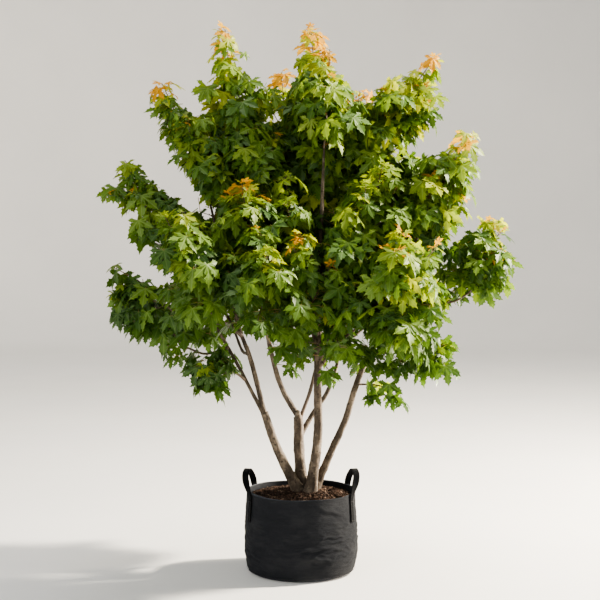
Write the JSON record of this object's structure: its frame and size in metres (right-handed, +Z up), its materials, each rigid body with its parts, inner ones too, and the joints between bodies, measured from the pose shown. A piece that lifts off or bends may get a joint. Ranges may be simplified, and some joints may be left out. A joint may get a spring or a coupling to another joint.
{
  "type": "potted maple tree",
  "caption": "Multi-stemmed maple with slender stems and an open crown of leafy spires, growing in a round dark felt bag with strap handles.",
  "frame": {"origin": "centre of the bag's flat underside, at ground level", "axes": "+Z up along the tree, +X to the right and -Y towards the viewer as the picture sees it; the handles lie on +X and -X"},
  "size_m": [1.9048, 1.404, 2.5457],
  "materials": {
    "felt": "matt charcoal non-woven felt",
    "strap": "matt dark webbing",
    "potting_mix": "rough brown bark chips",
    "bark": "smooth grey-brown bark with dark lenticels",
    "leaves": "soft satin green, orange-bronze at the young tips"
  },
  "bodies": {
    "root": {"pot_bag": "felt", "potting_soil": "potting_mix", "handle_left": "strap", "handle_right": "strap", "stem_centre": "bark", "stem_left": "bark", "stem_back": "bark", "stem_right": "bark", "bough_left_rising": "bark", "bough_left_outer": "bark", "bough_far_left": "bark", "bough_low_left": "bark", "bough_low_front_left": "bark", "bough_left_front": "bark", "bough_back_left": "bark", "bough_front": "bark", "bough_low_front": "bark", "bough_behind_centre": "bark", "bough_top_middle": "bark", "bough_back_centre": "bark", "bough_back_rising": "bark", "bough_top_right": "bark", "bough_back_right": "bark", "bough_right_rising": "bark", "bough_right_back": "bark", "bough_far_right": "bark", "bough_right_edge": "bark", "bough_low_right": "bark", "bough_low_front_right": "bark", "bough_front_right": "bark", "bough_top_left": "bark", "foliage_upper_left": "leaves", "foliage_left": "leaves", "foliage_far_left": "leaves", "foliage_low_left": "leaves", "foliage_low_front_left": "leaves", "foliage_left_front": "leaves", "foliage_back_left": "leaves", "foliage_front": "leaves", "foliage_low_front": "leaves", "foliage_top_left": "leaves", "foliage_top_middle": "leaves", "foliage_top_back": "leaves", "foliage_top_centre": "leaves", "foliage_top_right": "leaves", "foliage_upper_right": "leaves", "foliage_right_back": "leaves", "foliage_right_rising": "leaves", "foliage_far_right": "leaves", "foliage_right_edge": "leaves", "foliage_low_right": "leaves", "foliage_low_front_right": "leaves", "foliage_front_right": "leaves", "foliage_back_centre": "leaves", "foliage_back_right": "leaves", "foliage_front_centre": "leaves", "foliage_low_centre": "leaves", "foliage_centre_left": "leaves", "foliage_centre_right": "leaves", "foliage_sprig": "leaves"}
  },
  "joints": []
}
